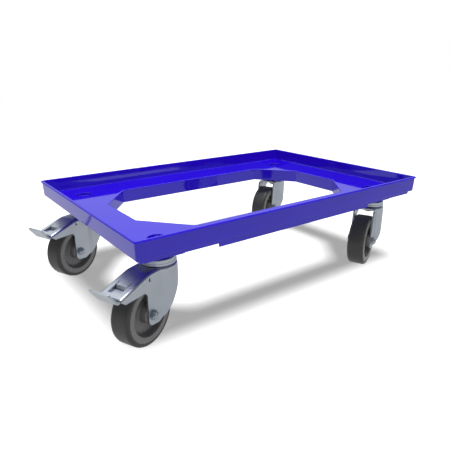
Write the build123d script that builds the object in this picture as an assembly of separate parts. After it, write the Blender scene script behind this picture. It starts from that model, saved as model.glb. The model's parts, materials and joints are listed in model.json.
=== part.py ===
"""Open-deck dolly for 600 x 400 mm crates: moulded tray on four swivel castors, two of them braked.

The tray is built about the vertical axis through its centre, with the floor at Z = 0.
+X runs along the tray's long side, away from the braked end, and +Y across it.
A castor is built with its swivel axis on Z, its wheel trailing along +X and its nut side on +Y.
Each castor is then turned to the angle it stands at and set under its corner of the tray.
The whole is shifted at the end, so that the origin is under the middle of its footprint.
"""
import os
from math import atan2, sqrt, tan

from build123d import *

# Tray: a rim round a deck with an eight-sided opening
TRAY_LENGTH = 620.0
TRAY_WIDTH = 420.0
TRAY_TOP = 175.0
DECK_TOP = 150.0
DECK_THICKNESS = 4.0
CORNER_RADIUS = 5.0
WALL_CORNER_RADIUS = 4.0
WELL_CORNER_RADIUS = 3.0
LIP_HEIGHT = 2.7
LIP_OVERHANG = 2.0
WALL_FOOT_INSET = 3.2
WELL_TOP_INSET = 4.5
WELL_FOOT_INSET = 5.5
OPENING_HALF_X = 235.5
OPENING_HALF_Y = 134.5
CHAMFER_X = 172.0
CHAMFER_Y = 57.0
OPENING_EDGE_RADIUS = 1.5
TOLERANCE = 0.01

# Skirts and ribs under the deck
SKIRT_THICKNESS = 3.0
INNER_SKIRT_BOTTOM = 124.0
OUTER_SKIRT_INSET = 10.0
SKIRT_CORNER_RADIUS = 1.0
OUTER_SKIRT_BOTTOM = 139.0
DEEP_SKIRT_BOTTOM = 133.2
RIB_THICKNESS = 3.0
RIB_BOTTOM = 140.0
LONG_SIDE_RIBS = (-172.0, -86.0, 0.0, 86.0, 172.0)
SHORT_SIDE_RIBS = (-57.0, 0.0, 57.0)

# Castor pads with their pockets and bolt holes
CASTOR_X = 247.0
CASTOR_Y = 148.5
PAD_HALF_X = 34.0
PAD_HALF_Y = 24.5
CASTOR_HEIGHT = 125.0
POCKET_RADIUS = 14.2
POCKET_DEPTH = 5.0
COUNTERBORE_RADIUS = 9.0
COUNTERBORE_FLOOR = 132.5
BOLT_HOLE_RADIUS = 5.3

# Fixing screw, washer and thin nut, M10
BOLT_RADIUS = 5.0
BOLT_HEAD_RADIUS = 8.0
BOLT_HEAD_HEIGHT = 7.0
BOLT_LENGTH = 35.0
BOLT_SOCKET_FLATS = 7.0
BOLT_SOCKET_DEPTH = 4.0
WASHER_RADIUS = 8.8
WASHER_THICKNESS = 2.0
NUT_FLATS = 17.0
NUT_HEIGHT = 5.0

# Swivel head
BOWL_RADIUS = 26.5
BOWL_THICKNESS = 2.5
BOWL_SHOULDER_RADIUS = 5.0
BEAD_RADIUS = 28.0
BEAD_TOP = 118.6
BEAD_BOTTOM = 115.0
BEAD_ROLL_RADIUS = 1.4
KING_PIN_RADIUS = 10.0
KING_PIN_FLANGE_RADIUS = 15.0
KING_PIN_BOTTOM = 105.5
LOWER_RACE_RADIUS = 17.0
LOWER_RACE_BOTTOM = 108.0
RACE_GAP = 0.3
BALL_RADIUS = 3.7
BALL_CIRCLE = 18.5
BALL_COUNT = 14

# Fork, pressed from sheet steel: in plan a half circle in front and flat sides behind
SHEET = 3.0
CROWN_TOP = 114.5
CROWN_RADIUS = 28.8
CROWN_FRONT = -29.8
CROWN_LIP_BOTTOM = 107.5
CROWN_HOLE_RADIUS = 11.0
CROWN_REAR = 38.0
CROWN_EDGE_RADIUS = 5.0
FORK_HALF_WIDTH = 21.0
LEG_REAR = 51.5
LEG_REAR_TOP = 41.5
LEG_REAR_KNEE = (50.5, 55.5)
LEG_HEEL = 41.0
LEG_TOE_REAR = (47.0, 35.5)
LEG_TOE_FRONT = (31.0, 33.2)
LEG_TOE_CORNER = (28.0, 33.5)
LEG_TOE_START = (17.0, 39.0)
BRAKED_LEG_FRONT = ((-18.0, 104.0), (-17.0, 86.0))
PLAIN_THROAT = ((-6.5, 82.0), (-14.5, 95.5))
PLAIN_LEG_KNEE = (-3.5, 61.0)

# Hood of the braked fork
HOOD_START = 36.0
HOOD_END = 101.2
HOOD_SLOPE = 0.213
HOOD_SIDE_BOTTOM = 90.0
HOOD_NOSE_TOP = (100.7, 95.5)
HOOD_NOSE_FOOT = (95.0, 91.0)
ARCH_RADIUS = 5.0
WINDOW_START = 77.0
WINDOW_END = 94.5
WINDOW_HALF_WIDTH = 10.5
TAB_HALF_WIDTH = 9.4
TAB_DROP = 4.0
TAB_LEAN = 2.4
TAB_THICKNESS = 1.6
SLIT_LENGTH = 7.0
SLIT_WIDTH = 1.2

# Brake lever with its pedal
PIVOT = (44.8, 106.0)
PIVOT_RADIUS = 2.0
PIVOT_CLEARANCE = 0.06
LEVER_SHEET = 2.8
LEVER_HALF_WIDTH = 17.4
LEVER_EYE_RADIUS = 3.2
LEVER_PLATE_START = (62.0, 99.8)
LEVER_NECK_HALF_WIDTH = 16.5
CHEEK_SHEET = 2.5
CHEEK_END = 72.0
CHEEK_DEPTH = 3.4
PEDAL_START = 102.9
PEDAL_FOOT = (104.9, 93.0)
PEDAL_TIP = (120.3, 113.2)
PEDAL_BEND_RADIUS = 6.0
PEDAL_HALF_WIDTH = 17.5
PEDAL_SHOULDER = 101.5
PEDAL_NECK = 95.0
SHOE_START = 69.0
SHOE_END = 79.0
SHOE_HALF_WIDTH = 10.0
SHOE_GAP = 4.85
SPRING_THICKNESS = 0.8
SPRING_HALF_WIDTH = 5.0
SPRING_FOOT = 72.0
SPRING_BEND = 64.0
SPRING_TIP = 54.0
SPRING_GAP = 0.4

# Wheel
WHEEL_RADIUS = 50.0
TRAIL = 41.3
TYRE_HALF_WIDTH = 16.3
TYRE_INNER_RADIUS = 43.5
TYRE_SHOULDER = 5.0
RIM_HALF_WIDTH = 15.9
RIM_INNER_RADIUS = 34.7
DISH_RADIUS = 31.0
WEB_HALF_THICKNESS = 5.0
BOSS_RADIUS = 14.0
BOSS_HALF_LENGTH = 17.6
BEARING_RADIUS = 9.0
BEARING_HALF_LENGTH = 17.3
RUNNING_CLEARANCE = 0.05

# Axle, M8
AXLE_RADIUS = 4.0
AXLE_HOLE_RADIUS = 4.1
SLEEVE_RADIUS = 6.0
AXLE_FLATS = 13.0
AXLE_HEAD_HEIGHT = 5.3
AXLE_NUT_HEIGHT = 7.2
AXLE_END_SHOWING = 0.8

# Castors: name, sides of the tray's centre they stand on, and whether they have a brake
CASTOR_TURN = 180.0 + 23.6
CASTORS = (
    ("left_front", -1, -1, True),
    ("left_rear", -1, 1, True),
    ("right_front", 1, -1, False),
    ("right_rear", 1, 1, False),
)


def ring(outer, inner, bottom, top):
    """Upright tube or washer on the Z axis."""
    disc = Circle(outer) - Circle(inner) if inner else Circle(outer)
    return extrude(Pos(0, 0, bottom) * disc, top - bottom)


def hexagon(flats, bottom, top):
    """Upright six-sided prism on the Z axis, by the distance across its flats."""
    return extrude(Pos(0, 0, bottom) * RegularPolygon(flats / sqrt(3), 6), top - bottom)


def across(part):
    """Turn a part made on the Z axis so that it lies along Y."""
    return Rot(-90, 0, 0) * part


def at_axle(part):
    """Set a part made on the Y axis at the wheel's axle."""
    return Pos(TRAIL, 0, WHEEL_RADIUS) * part


def side_plate(outline, half_width):
    """Solid whose side view, in X and Z, is the outline, centred across Y."""
    return extrude(Plane.XZ * make_face(outline), half_width, both=True)


def tray_section(inset, radius, height):
    """Rounded rectangle, the tray's plan drawn in by the inset, at a height."""
    plan = RectangleRounded(TRAY_LENGTH - 2 * inset, TRAY_WIDTH - 2 * inset, radius)
    return Pos(0, 0, height) * plan


def opening_plan(grow):
    """Eight-sided plan of the deck's opening, moved outwards by grow."""
    run = CHAMFER_Y - OPENING_HALF_Y, OPENING_HALF_X - CHAMFER_X
    length = sqrt(run[0] ** 2 + run[1] ** 2)
    normal = -run[0] / length, run[1] / length
    offset = grow + normal[0] * OPENING_HALF_X + normal[1] * CHAMFER_Y
    half_x = OPENING_HALF_X + grow
    half_y = OPENING_HALF_Y + grow
    side_y = (offset - normal[0] * half_x) / normal[1]
    end_x = (offset - normal[1] * half_y) / normal[0]
    quarter = [(half_x, side_y), (end_x, half_y)]
    corners = quarter + [(-x, y) for x, y in reversed(quarter)]
    corners += [(-x, -y) for x, y in corners]
    return make_face(Polyline(*corners, close=True))


def make_tray():
    """Rim, deck, skirts, ribs and castor pads as one moulding."""
    deck_bottom = DECK_TOP - DECK_THICKNESS
    lip_bottom = TRAY_TOP - LIP_HEIGHT
    tray = extrude(tray_section(0, CORNER_RADIUS, lip_bottom), LIP_HEIGHT)
    wall_foot = tray_section(WALL_FOOT_INSET, WALL_CORNER_RADIUS, deck_bottom)
    wall_head = tray_section(LIP_OVERHANG, WALL_CORNER_RADIUS, lip_bottom + LIP_HEIGHT / 2)
    tray += loft([wall_foot, wall_head])
    tray -= loft([
        tray_section(WELL_FOOT_INSET, WELL_CORNER_RADIUS, DECK_TOP),
        tray_section(WELL_TOP_INSET, WELL_CORNER_RADIUS, TRAY_TOP),
    ])

    skirt_plan = opening_plan(SKIRT_THICKNESS)
    tray += extrude(Pos(0, 0, INNER_SKIRT_BOTTOM) * skirt_plan, DECK_TOP - INNER_SKIRT_BOTTOM)
    ring_inset = OUTER_SKIRT_INSET + SKIRT_THICKNESS
    ring_plan = tray_section(OUTER_SKIRT_INSET, WALL_CORNER_RADIUS, OUTER_SKIRT_BOTTOM)
    ring_plan -= tray_section(ring_inset, SKIRT_CORNER_RADIUS, OUTER_SKIRT_BOTTOM)
    tray += extrude(ring_plan, deck_bottom - OUTER_SKIRT_BOTTOM)
    skirt_y = TRAY_WIDTH / 2 - OUTER_SKIRT_INSET - SKIRT_THICKNESS / 2
    deep = Box(2 * CHAMFER_X, SKIRT_THICKNESS, deck_bottom - DEEP_SKIRT_BOTTOM)
    for side in (-1, 1):
        tray += Pos(0, side * skirt_y, (deck_bottom + DEEP_SKIRT_BOTTOM) / 2) * deep

    rib_height = deck_bottom - RIB_BOTTOM
    rib_z = (deck_bottom + RIB_BOTTOM) / 2
    inner_y = OPENING_HALF_Y
    outer_y = TRAY_WIDTH / 2 - OUTER_SKIRT_INSET - SKIRT_THICKNESS / 2
    long_rib = Box(RIB_THICKNESS, outer_y - inner_y, rib_height)
    for x in LONG_SIDE_RIBS:
        for side in (-1, 1):
            tray += Pos(x, side * (inner_y + outer_y) / 2, rib_z) * long_rib
    inner_x = OPENING_HALF_X
    outer_x = TRAY_LENGTH / 2 - OUTER_SKIRT_INSET - SKIRT_THICKNESS / 2
    short_rib = Box(outer_x - inner_x, RIB_THICKNESS, rib_height)
    for y in SHORT_SIDE_RIBS:
        for side in (-1, 1):
            tray += Pos(side * (inner_x + outer_x) / 2, y, rib_z) * short_rib

    pad = Box(2 * PAD_HALF_X, 2 * PAD_HALF_Y, deck_bottom - CASTOR_HEIGHT)
    pad_z = (deck_bottom + CASTOR_HEIGHT) / 2
    rib_x = Box(outer_x - CASTOR_X, RIB_THICKNESS, rib_height)
    rib_y = Box(RIB_THICKNESS, outer_y - CASTOR_Y, rib_height)
    for name, end, side, braked in CASTORS:
        x, y = end * CASTOR_X, side * CASTOR_Y
        tray += Pos(x, y, pad_z) * pad
        tray += Pos(end * (CASTOR_X + outer_x) / 2, y, rib_z) * rib_x
        tray += Pos(x, side * (CASTOR_Y + outer_y) / 2, rib_z) * rib_y
    tray -= extrude(opening_plan(0), TRAY_TOP)
    edges = tray.edges().filter_by_position(Axis.Z, DECK_TOP - TOLERANCE, DECK_TOP + TOLERANCE)
    edges = edges.filter_by_position(Axis.X, -OPENING_HALF_X - TOLERANCE, OPENING_HALF_X + TOLERANCE)
    edges = edges.filter_by_position(Axis.Y, -OPENING_HALF_Y - TOLERANCE, OPENING_HALF_Y + TOLERANCE)
    tray = fillet(edges, OPENING_EDGE_RADIUS)

    for name, end, side, braked in CASTORS:
        hole = ring(POCKET_RADIUS, 0, DECK_TOP - POCKET_DEPTH, DECK_TOP)
        hole += ring(COUNTERBORE_RADIUS, 0, COUNTERBORE_FLOOR, DECK_TOP)
        hole += ring(BOLT_HOLE_RADIUS, 0, CASTOR_HEIGHT, DECK_TOP)
        tray -= Pos(end * CASTOR_X, side * CASTOR_Y, 0) * hole
    return tray


def make_fixings():
    """Socket screw, washer and nut that clamp one castor to its pad."""
    washer_top = COUNTERBORE_FLOOR + WASHER_THICKNESS
    washer = ring(WASHER_RADIUS, BOLT_HOLE_RADIUS, COUNTERBORE_FLOOR, washer_top)
    head_top = washer_top + BOLT_HEAD_HEIGHT
    bolt = ring(BOLT_HEAD_RADIUS, 0, washer_top, head_top)
    bolt += ring(BOLT_RADIUS, 0, washer_top - BOLT_LENGTH, washer_top)
    bolt -= hexagon(BOLT_SOCKET_FLATS, head_top - BOLT_SOCKET_DEPTH, head_top)
    nut = hexagon(NUT_FLATS, KING_PIN_BOTTOM - NUT_HEIGHT, KING_PIN_BOTTOM)
    nut -= ring(BOLT_RADIUS, 0, KING_PIN_BOTTOM - NUT_HEIGHT, KING_PIN_BOTTOM)
    return bolt, washer, nut


def make_swivel_head():
    """Upper bowl with its rolled bead, balls, hollow king pin and lower race: all stay with the tray."""
    bowl_floor = CASTOR_HEIGHT - BOWL_THICKNESS
    bowl = ring(BOWL_RADIUS, 0, BEAD_BOTTOM, CASTOR_HEIGHT)
    bowl = fillet(bowl.edges().group_by(Axis.Z)[-1], BOWL_SHOULDER_RADIUS)
    hollow = ring(BOWL_RADIUS - BOWL_THICKNESS, 0, BEAD_BOTTOM, bowl_floor)
    hollow = fillet(hollow.edges().group_by(Axis.Z)[-1], BOWL_SHOULDER_RADIUS - BOWL_THICKNESS)
    bowl -= hollow
    bowl -= ring(KING_PIN_RADIUS, 0, bowl_floor, CASTOR_HEIGHT)
    bead = ring(BEAD_RADIUS, BOWL_RADIUS - BOWL_THICKNESS / 2, BEAD_BOTTOM, BEAD_TOP)
    rolled = [e for e in bead.edges().filter_by(GeomType.CIRCLE) if e.radius > BOWL_RADIUS]
    bead = fillet(rolled, BEAD_ROLL_RADIUS)
    bowl += bead
    ball_z = (CROWN_TOP + bowl_floor) / 2
    places = PolarLocations(BALL_CIRCLE, BALL_COUNT)
    balls = Compound([Pos(0, 0, ball_z) * place * Sphere(BALL_RADIUS) for place in places])
    king_pin = ring(KING_PIN_RADIUS, BOLT_HOLE_RADIUS, KING_PIN_BOTTOM, CASTOR_HEIGHT)
    king_pin += ring(KING_PIN_FLANGE_RADIUS, BOLT_HOLE_RADIUS, KING_PIN_BOTTOM, LOWER_RACE_BOTTOM)
    race_top = CROWN_TOP - SHEET - RACE_GAP
    race = ring(LOWER_RACE_RADIUS, KING_PIN_RADIUS, LOWER_RACE_BOTTOM, race_top)
    return {"swivel_bowl": bowl, "swivel_balls": balls, "king_pin": king_pin, "lower_race": race}


def hood_top(x):
    """Height of the hood's top face at a distance behind the swivel axis."""
    return CROWN_TOP - HOOD_SLOPE * (x - HOOD_START)


def fork_prism(radius, half_width, top):
    """Upright prism with the fork's plan, open-ended far behind the wheel."""
    far = 2 * HOOD_END
    join = sqrt(radius ** 2 - half_width ** 2)
    plan = ThreePointArc((join, half_width), (-radius, 0), (join, -half_width))
    plan += Polyline((join, -half_width), (far, -half_width), (far, half_width), (join, half_width))
    return extrude(make_face(plan), top)


def fork_outline(braked):
    """Side view of a fork: crown line, hood if braked, rear edge, toe and front edge."""
    crown_front = CROWN_FRONT, CROWN_TOP
    lip_front = CROWN_FRONT, CROWN_LIP_BOTTOM
    if braked:
        rear = [(HOOD_START, CROWN_TOP), (HOOD_END, hood_top(HOOD_END)), HOOD_NOSE_TOP, HOOD_NOSE_FOOT]
        rear += [(LEG_REAR + ARCH_RADIUS, HOOD_SIDE_BOTTOM), (LEG_REAR, HOOD_SIDE_BOTTOM - ARCH_RADIUS)]
    else:
        rear = [(CROWN_REAR, CROWN_TOP), (LEG_REAR_TOP, CROWN_TOP - SHEET), LEG_REAR_KNEE]
    toe = (LEG_REAR, LEG_HEEL), LEG_TOE_REAR, LEG_TOE_FRONT, LEG_TOE_CORNER, LEG_TOE_START
    outline = Polyline(crown_front, *rear, *toe)
    if braked:
        knee, foot = BRAKED_LEG_FRONT
        outline += Polyline(LEG_TOE_START, foot, knee, lip_front, crown_front)
    else:
        start, middle = PLAIN_THROAT
        outline += Polyline(LEG_TOE_START, PLAIN_LEG_KNEE, start)
        outline += ThreePointArc(start, middle, lip_front)
        outline += Line(lip_front, crown_front)
    return outline


def crown_edges(fork):
    """Long edges where the fork's top turns down into its sides and its round front."""
    edges = []
    for edge in fork.edges():
        middle = edge.position_at(0.5)
        on_top = middle.Z > min(CROWN_TOP, hood_top(middle.X)) - TOLERANCE
        on_side = abs(abs(middle.Y) - FORK_HALF_WIDTH) < TOLERANCE
        on_front = abs(sqrt(middle.X ** 2 + middle.Y ** 2) - CROWN_RADIUS) < TOLERANCE
        if on_top and (on_side or on_front):
            edges.append(edge)
    return edges


def make_fork(braked):
    """Pressed fork; a braked one carries its sides and top back over the wheel as a hood."""
    far = 3 * HOOD_END
    inner_half = FORK_HALF_WIDTH - SHEET
    top = CROWN_TOP - SHEET
    under = [(-far, top), (HOOD_START, top), (far, hood_top(far) - SHEET if braked else top)]
    inside = Polyline(*under, (far, -far), (-far, -far), close=True)
    fork = fork_prism(CROWN_RADIUS, FORK_HALF_WIDTH, CROWN_TOP) & side_plate(fork_outline(braked), far)
    fork = fillet(crown_edges(fork), CROWN_EDGE_RADIUS)
    fork -= fork_prism(CROWN_RADIUS - SHEET, inner_half, CROWN_TOP) & side_plate(inside, far)
    if not braked:
        beyond = Box(far, 2 * far, 2 * SHEET)
        fork -= Pos(CROWN_REAR + far / 2, 0, CROWN_TOP) * beyond
    fork -= ring(CROWN_HOLE_RADIUS, 0, top, CROWN_TOP)
    fork -= at_axle(across(ring(AXLE_HOLE_RADIUS, 0, -far, far)))
    return finish_hood(fork) if braked else fork


def finish_hood(fork):
    """Cut the hood's window and slits, bend its tab down and bore the lever's pivot."""
    length = WINDOW_END - WINDOW_START
    window = Box(length, 2 * WINDOW_HALF_WIDTH, 4 * SHEET)
    middle = (WINDOW_START + WINDOW_END) / 2
    fork -= Pos(middle, 0, hood_top(middle)) * window
    slit_x = WINDOW_START - SLIT_LENGTH / 2
    slit_y = WINDOW_HALF_WIDTH - SLIT_WIDTH / 2
    for side in (-1, 1):
        slit = Box(SLIT_LENGTH, SLIT_WIDTH, 4 * SHEET)
        fork -= Pos(slit_x, side * slit_y, hood_top(slit_x)) * slit
    top = hood_top(WINDOW_START)
    tab = Polyline(
        (WINDOW_START - TAB_THICKNESS, top),
        (WINDOW_START, top),
        (WINDOW_START + TAB_LEAN, top - TAB_DROP),
        (WINDOW_START + TAB_LEAN - TAB_THICKNESS, top - TAB_DROP),
        close=True,
    )
    fork += side_plate(tab, TAB_HALF_WIDTH)
    pivot = Cylinder(PIVOT_RADIUS, 4 * FORK_HALF_WIDTH, rotation=(90, 0, 0))
    return fork - Pos(PIVOT[0], 0, PIVOT[1]) * pivot


def lever_slope():
    """Fall of the lever plate towards the pedal, per unit of length."""
    return (PEDAL_FOOT[1] - LEVER_PLATE_START[1]) / (PEDAL_FOOT[0] - LEVER_PLATE_START[0])


def lever_under(x):
    """Height of the lever plate's under face, between its start and the pedal's foot."""
    return LEVER_PLATE_START[1] + lever_slope() * (x - LEVER_PLATE_START[0])


def lever_top(x):
    """Height of the lever plate's top face."""
    return lever_under(x) + LEVER_SHEET * sqrt(1 + lever_slope() ** 2)


def bent_strip(start, corner, end):
    """Outline of the lever's sheet, bent once: its under face runs from start round the corner to end."""
    run = corner[0] - start[0], corner[1] - start[1]
    rise = end[0] - corner[0], end[1] - corner[1]
    half_turn = (atan2(rise[1], rise[0]) - atan2(run[1], run[0])) / 2

    def above(point, ahead):
        length = sqrt(ahead[0] ** 2 + ahead[1] ** 2)
        return point[0] - LEVER_SHEET * ahead[1] / length, point[1] + LEVER_SHEET * ahead[0] / length

    length = sqrt(run[0] ** 2 + run[1] ** 2)
    back = LEVER_SHEET * tan(half_turn) / length
    over = above(corner, run)
    inner_corner = over[0] - back * run[0], over[1] - back * run[1]
    inner_radius = PEDAL_BEND_RADIUS - LEVER_SHEET
    under_face = FilletPolyline(start, corner, end, radius=PEDAL_BEND_RADIUS)
    upper_face = FilletPolyline(above(start, run), inner_corner, above(end, rise), radius=inner_radius)
    return under_face + Line(end, above(end, rise)) + upper_face + Line(above(start, run), start)


def make_lever():
    """Lever plate with two cheeks to the pivot, and a pedal that slants up behind the hood."""
    start = LEVER_PLATE_START[0]
    lever = side_plate(bent_strip(LEVER_PLATE_START, PEDAL_FOOT, PEDAL_TIP), PEDAL_HALF_WIDTH)
    widths = (
        (PEDAL_HALF_WIDTH, 2 * PEDAL_TIP[1]),
        (PEDAL_HALF_WIDTH, PEDAL_SHOULDER),
        (LEVER_NECK_HALF_WIDTH, PEDAL_NECK),
        (LEVER_NECK_HALF_WIDTH, 0),
    )
    outline = Polyline(*widths, *[(-y, z) for y, z in reversed(widths)], close=True)
    keep = Pos(PEDAL_START, 0, 0) * extrude(Plane.YZ * make_face(outline), PEDAL_TIP[0])
    keep += Pos(PEDAL_START / 2, 0, PEDAL_NECK) * Box(PEDAL_START, 2 * LEVER_NECK_HALF_WIDTH, PEDAL_TIP[0])
    lever = lever & keep

    cheek = Polyline(
        (PIVOT[0], PIVOT[1] + LEVER_EYE_RADIUS),
        (start, lever_top(start)),
        (CHEEK_END, lever_top(CHEEK_END)),
        (CHEEK_END, lever_top(CHEEK_END) - CHEEK_DEPTH),
        (PIVOT[0], PIVOT[1] - LEVER_EYE_RADIUS),
        close=True,
    )
    cheeks = side_plate(cheek, LEVER_HALF_WIDTH)
    eye = Cylinder(LEVER_EYE_RADIUS, 2 * LEVER_HALF_WIDTH, rotation=(90, 0, 0))
    cheeks += Pos(PIVOT[0], 0, PIVOT[1]) * eye
    gap = Box(2 * CHEEK_END, 2 * (LEVER_HALF_WIDTH - CHEEK_SHEET), WHEEL_RADIUS)
    cheeks -= Pos(CHEEK_END, 0, PIVOT[1]) * gap
    web = Polyline(
        (start, lever_top(start)),
        (CHEEK_END, lever_top(CHEEK_END)),
        (CHEEK_END, lever_under(CHEEK_END)),
        (start, lever_under(start)),
        close=True,
    )
    lever += cheeks + side_plate(web, LEVER_HALF_WIDTH)
    hole = Cylinder(PIVOT_RADIUS + PIVOT_CLEARANCE, 4 * LEVER_HALF_WIDTH, rotation=(90, 0, 0))
    return lever - Pos(PIVOT[0], 0, PIVOT[1]) * hole


def make_brake():
    """Lever, shoe and leaf spring, which turn together, and the pin that they turn on."""
    shoe = Polyline(
        (SHOE_START, lever_under(SHOE_START)),
        (SHOE_END, lever_under(SHOE_END)),
        (SHOE_END, WHEEL_RADIUS),
        (SHOE_START, WHEEL_RADIUS),
        close=True,
    )
    reach = across(ring(WHEEL_RADIUS + SHOE_GAP, 0, -FORK_HALF_WIDTH, FORK_HALF_WIDTH))
    shoe = side_plate(shoe, SHOE_HALF_WIDTH) - at_axle(reach)

    tip_z = hood_top(SPRING_TIP) - SHEET - SPRING_GAP
    spring = Polyline(
        (SPRING_FOOT, lever_top(SPRING_FOOT)),
        (SPRING_BEND, lever_top(SPRING_BEND)),
        (SPRING_TIP, tip_z - SPRING_THICKNESS),
        (SPRING_TIP, tip_z),
        (SPRING_BEND, lever_top(SPRING_BEND) + SPRING_THICKNESS),
        (SPRING_FOOT, lever_top(SPRING_FOOT) + SPRING_THICKNESS),
        close=True,
    )
    pin = Cylinder(PIVOT_RADIUS, 2 * FORK_HALF_WIDTH, rotation=(90, 0, 0))
    return {
        "brake_lever": make_lever(),
        "brake_shoe": shoe,
        "brake_spring": side_plate(spring, SPRING_HALF_WIDTH),
        "brake_pivot_pin": Pos(PIVOT[0], 0, PIVOT[1]) * pin,
    }


def make_wheel():
    """Moulded hub, tyre and plain bearing, turning on the axle."""
    hub = Polyline(
        (BEARING_RADIUS, BOSS_HALF_LENGTH),
        (BOSS_RADIUS, BOSS_HALF_LENGTH),
        (BOSS_RADIUS, WEB_HALF_THICKNESS),
        (DISH_RADIUS, WEB_HALF_THICKNESS),
        (RIM_INNER_RADIUS, RIM_HALF_WIDTH),
        (TYRE_INNER_RADIUS, RIM_HALF_WIDTH),
        (TYRE_INNER_RADIUS, -RIM_HALF_WIDTH),
        (RIM_INNER_RADIUS, -RIM_HALF_WIDTH),
        (DISH_RADIUS, -WEB_HALF_THICKNESS),
        (BOSS_RADIUS, -WEB_HALF_THICKNESS),
        (BOSS_RADIUS, -BOSS_HALF_LENGTH),
        (BEARING_RADIUS, -BOSS_HALF_LENGTH),
        close=True,
    )
    hub = revolve(make_face(hub), Axis.Y)
    tread = TYRE_HALF_WIDTH - TYRE_SHOULDER
    shoulder = WHEEL_RADIUS - TYRE_SHOULDER
    bulge = TYRE_SHOULDER * sqrt(0.5)
    tyre = Polyline((shoulder, -TYRE_HALF_WIDTH), (TYRE_INNER_RADIUS, -RIM_HALF_WIDTH))
    tyre += Line((TYRE_INNER_RADIUS, -RIM_HALF_WIDTH), (TYRE_INNER_RADIUS, RIM_HALF_WIDTH))
    tyre += Line((TYRE_INNER_RADIUS, RIM_HALF_WIDTH), (shoulder, TYRE_HALF_WIDTH))
    upper_mid = shoulder + bulge, tread + bulge
    tyre += ThreePointArc((shoulder, TYRE_HALF_WIDTH), upper_mid, (WHEEL_RADIUS, tread))
    tyre += Line((WHEEL_RADIUS, tread), (WHEEL_RADIUS, -tread))
    lower_mid = shoulder + bulge, -tread - bulge
    tyre += ThreePointArc((WHEEL_RADIUS, -tread), lower_mid, (shoulder, -TYRE_HALF_WIDTH))
    tyre = revolve(make_face(tyre), Axis.Y)
    bore = SLEEVE_RADIUS + RUNNING_CLEARANCE
    bearing = across(ring(BEARING_RADIUS, bore, -BEARING_HALF_LENGTH, BEARING_HALF_LENGTH))
    return {"hub": at_axle(hub), "tyre": at_axle(tyre), "wheel_bearing": at_axle(bearing)}


def make_axle():
    """Axle bolt with its head on one leg, nut on the other and a sleeve clamped between them."""
    face = FORK_HALF_WIDTH
    shank_end = face + AXLE_NUT_HEIGHT + AXLE_END_SHOWING
    bolt = ring(AXLE_RADIUS, 0, -face, shank_end)
    bolt += hexagon(AXLE_FLATS, -face - AXLE_HEAD_HEIGHT, -face)
    nut = hexagon(AXLE_FLATS, face, face + AXLE_NUT_HEIGHT)
    nut -= ring(AXLE_RADIUS, 0, face, face + AXLE_NUT_HEIGHT)
    inner = FORK_HALF_WIDTH - SHEET
    sleeve = ring(SLEEVE_RADIUS, AXLE_HOLE_RADIUS, -inner, inner)
    pieces = {"axle_bolt": bolt, "axle_nut": nut, "axle_sleeve": sleeve}
    return {name: at_axle(across(piece)) for name, piece in pieces.items()}


def assemble():
    """Every node by name, about the tray's centre."""
    nodes = {"tray": make_tray()}
    fixings = {"fixing_bolts": [], "fixing_washers": [], "fixing_nuts": []}
    bolt, washer, nut = make_fixings()
    common = make_swivel_head() | make_wheel() | make_axle()
    for name, end, side, braked in CASTORS:
        place = Location((end * CASTOR_X, side * CASTOR_Y, 0), (0, 0, CASTOR_TURN))
        pieces = common | {"fork": make_fork(braked)}
        if braked:
            pieces |= make_brake()
        for piece, shape in pieces.items():
            nodes[f"{piece}_{name}"] = place * shape
        for group, shape in zip(fixings.values(), (bolt, washer, nut)):
            group.append(place * shape)
    for group, shapes in fixings.items():
        nodes[group] = Compound(shapes)
    return nodes


nodes = assemble()
boxes = [shape.bounding_box() for shape in nodes.values()]
middle_x = (min(box.min.X for box in boxes) + max(box.max.X for box in boxes)) / 2
middle_y = (min(box.min.Y for box in boxes) + max(box.max.Y for box in boxes)) / 2
shift = Pos(-middle_x, -middle_y, 0)
os.makedirs("parts", exist_ok=True)
for node, shape in nodes.items():
    export_step(shift * shape, f"parts/{node}.step")
print("tray centre in the finished frame, mm:", -middle_x, -middle_y)
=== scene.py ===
"""Looks of the crate dolly: a glossy blue tray on zinc-plated castors with grey wheels.

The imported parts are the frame. What shows is worked out here as surfaces, in millimetres, and set in the
same place. The tray is worked out about its own centre. A castor is worked out with its swivel axis on Z,
its wheel trailing along +X and its nut side on +Y, and then turned and set under its corner of the tray.
"""
import json
from math import pi, radians, sqrt

import bmesh
import bpy
import numpy as np
from mathutils import Euler, Matrix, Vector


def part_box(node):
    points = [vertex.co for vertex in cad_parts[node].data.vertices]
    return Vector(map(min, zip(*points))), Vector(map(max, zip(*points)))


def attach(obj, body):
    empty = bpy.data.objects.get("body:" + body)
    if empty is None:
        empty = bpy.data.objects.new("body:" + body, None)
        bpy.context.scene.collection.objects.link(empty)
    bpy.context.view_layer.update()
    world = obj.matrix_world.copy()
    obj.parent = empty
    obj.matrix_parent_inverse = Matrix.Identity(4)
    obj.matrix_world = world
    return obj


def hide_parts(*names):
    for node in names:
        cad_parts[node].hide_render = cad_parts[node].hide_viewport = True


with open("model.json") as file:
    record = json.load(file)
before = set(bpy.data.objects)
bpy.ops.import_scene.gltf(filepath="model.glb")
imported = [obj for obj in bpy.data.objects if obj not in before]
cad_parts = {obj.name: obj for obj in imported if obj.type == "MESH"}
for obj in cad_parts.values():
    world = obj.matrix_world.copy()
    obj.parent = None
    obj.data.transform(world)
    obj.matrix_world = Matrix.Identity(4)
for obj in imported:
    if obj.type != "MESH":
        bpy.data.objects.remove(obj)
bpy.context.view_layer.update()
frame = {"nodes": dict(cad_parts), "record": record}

MM = 0.001

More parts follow.
